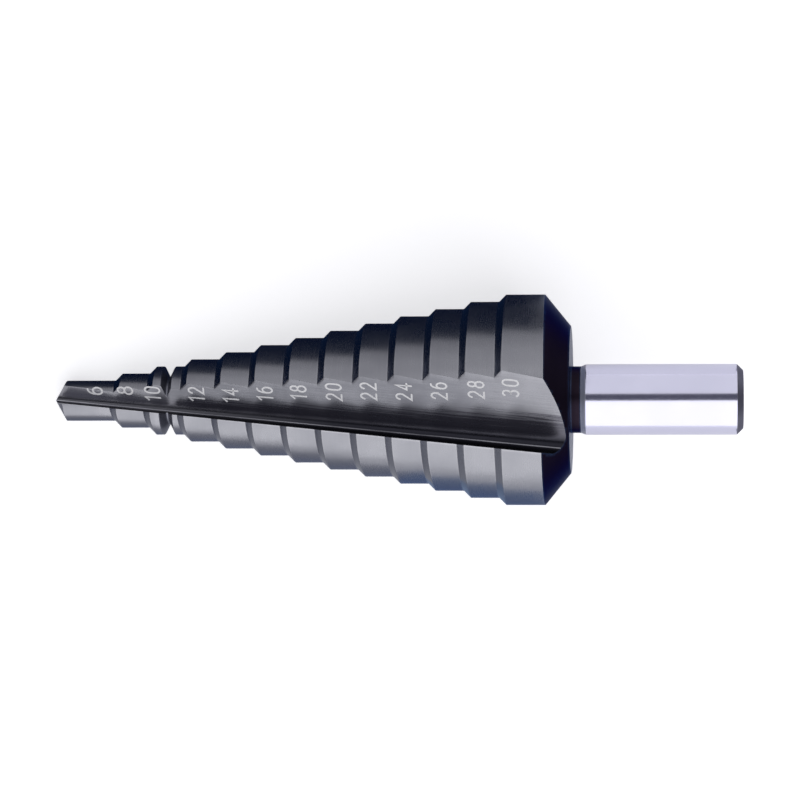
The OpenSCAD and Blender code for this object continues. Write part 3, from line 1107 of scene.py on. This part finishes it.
# Camera, fitted to the photograph: it looks at the numbered flute from straight above it,
# turned a little towards the shank.
cameraSet = {"aim": 49.566, "distance": 407.34, "yaw": 5.276, "roll": 0.127, "lens": 129.05}


def makeCamera():
    c = cameraSet
    yaw, roll = radians(c["yaw"]), radians(c["roll"])
    place = np.array([[c["aim"] + c["distance"] * sin(yaw), c["distance"] * cos(yaw), 0.0]])
    turn = np.array(lying)[:3, :3]
    right = np.array([cos(yaw), sin(yaw), 0.0])           # x, y, z of the drill's own frame
    up = np.array([0.0, 0.0, 1.0])
    right, up = right * cos(roll) - up * sin(roll), up * cos(roll) + right * sin(roll)
    back = np.cross(right, up)
    matrix = Matrix.Identity(4)
    for i, axis in enumerate((right, up, back)):
        matrix.col[i].xyz = turn @ axis
    matrix.translation = Vector(toRow(place)[0])
    data = bpy.data.cameras.new("camera")
    data.lens = c["lens"]
    data.clip_start, data.clip_end = 0.01, 20
    camera = bpy.data.objects.new("camera", data)
    camera.matrix_world = matrix
    scene.collection.objects.link(camera)
    scene.camera = camera


makeCamera()

# Soft studio light. Each panel faces the drill from a turn about the long axis, where 0 is
# overhead and a positive turn leans towards +Y; level is the brightness that a mirror shows.
panels = {
    "wideLow": {"turn": -45.5, "away": 0.60, "span": 1.22, "length": 0.90, "at": 0.05, "level": 1.28},
    "wideHigh": {"turn": 56.5, "away": 0.60, "span": 0.84, "length": 1.10, "at": 0.0, "level": 0.72},
}
worldSet = {"colour": (0.08, 0.08, 0.105), "strength": 1.0}

# Cards that only reflections see, as a photographer stands them round bright steel. A dark one
# lies on the floor on the +Y side of the body, and a dark, a grey and a paler one stand above
# each other behind it. On the other side lie a grey and a blue one, and a grey one lies past the
# shank. Places are in millimetres from the middle, and tone is the light that a card gives.
standingY, flatZ = 45, 0.4


def flatCard(x0, x1, y0, y1):
    return [(x0, y0, flatZ), (x1, y0, flatZ), (x1, y1, flatZ), (x0, y1, flatZ)]


def standingCard(*places):
    return [(x, standingY, z) for x, z in places]


cards = {
    "cardHigh": {"outline": flatCard(-400, 22.5, 1, standingY), "tone": (0.004, 0.012, 0.040)},
    "cardWall": {
        "outline": standingCard(
            (-65, flatZ), (24, flatZ), (24, 9), (21.5, 22), (19.5, 31), (5, 24), (-15, 22), (-65, 4)),
        "tone": (0.004, 0.012, 0.040)},
    "cardSoft": {
        "outline": standingCard((-65, 4), (-15, 22), (5, 24), (19.5, 31), (19.5, 42), (-25, 37), (-65, 30)),
        "tone": (0.44, 0.44, 0.47)},
    "cardVeil": {
        "outline": standingCard((-65, 30), (-25, 37), (19.5, 42), (8, 76), (-65, 66)),
        "tone": (0.58, 0.58, 0.61)},
    "cardLow": {"outline": flatCard(-400, 0, -50, -1), "tone": (0.34, 0.35, 0.40)},
    "cardBlue": {"outline": flatCard(0, 22.5, -66, -1), "tone": (0.20, 0.27, 0.42)},
    "cardEnd": {"outline": flatCard(54, 300, -70, 70), "tone": (0.30, 0.30, 0.36)},
}


def makeCards():
    for name, c in cards.items():
        corners = [(x * mm, y * mm, z * mm) for x, y, z in c["outline"]]
        material, tree, glow = newMaterial(name)
        feed(tree, glow, {
            "Base Color": (0, 0, 0), "Specular IOR Level": 0.0, "Emission Color": c["tone"],
            "Emission Strength": 1.0})
        card = addPiece(name, corners, [tuple(range(len(corners)))], material)
        for ray in ("camera", "diffuse", "shadow", "transmission"):
            setattr(card, "visible_" + ray, False)


# The panels, and a world that is dim for the drill but white where the camera sees it.
def makeLights():
    for name, p in panels.items():
        light = bpy.data.lights.new(name, "AREA")
        light.shape = "RECTANGLE"
        light.size, light.size_y = p["length"], p["span"]
        light.energy = p["level"] * pi * p["length"] * p["span"]
        lamp = bpy.data.objects.new(name, light)
        a = radians(p["turn"])
        lamp.location = (p["at"], p["away"] * sin(a), p["away"] * cos(a))
        lamp.rotation_euler = (-a, 0, 0)
        scene.collection.objects.link(lamp)
    world = bpy.data.worlds.new("studio")
    world.use_nodes = True
    tree = world.node_tree
    colour = mixColour(tree, seenBy(tree)[1], worldSet["colour"], (1.0, 1.0, 1.0))
    feed(tree, tree.nodes["Background"], {"Color": colour, "Strength": worldSet["strength"]})
    scene.world = world


makeCards()
makeLights()
scene.view_settings.view_transform = "Standard"
print("stage, camera and light set")
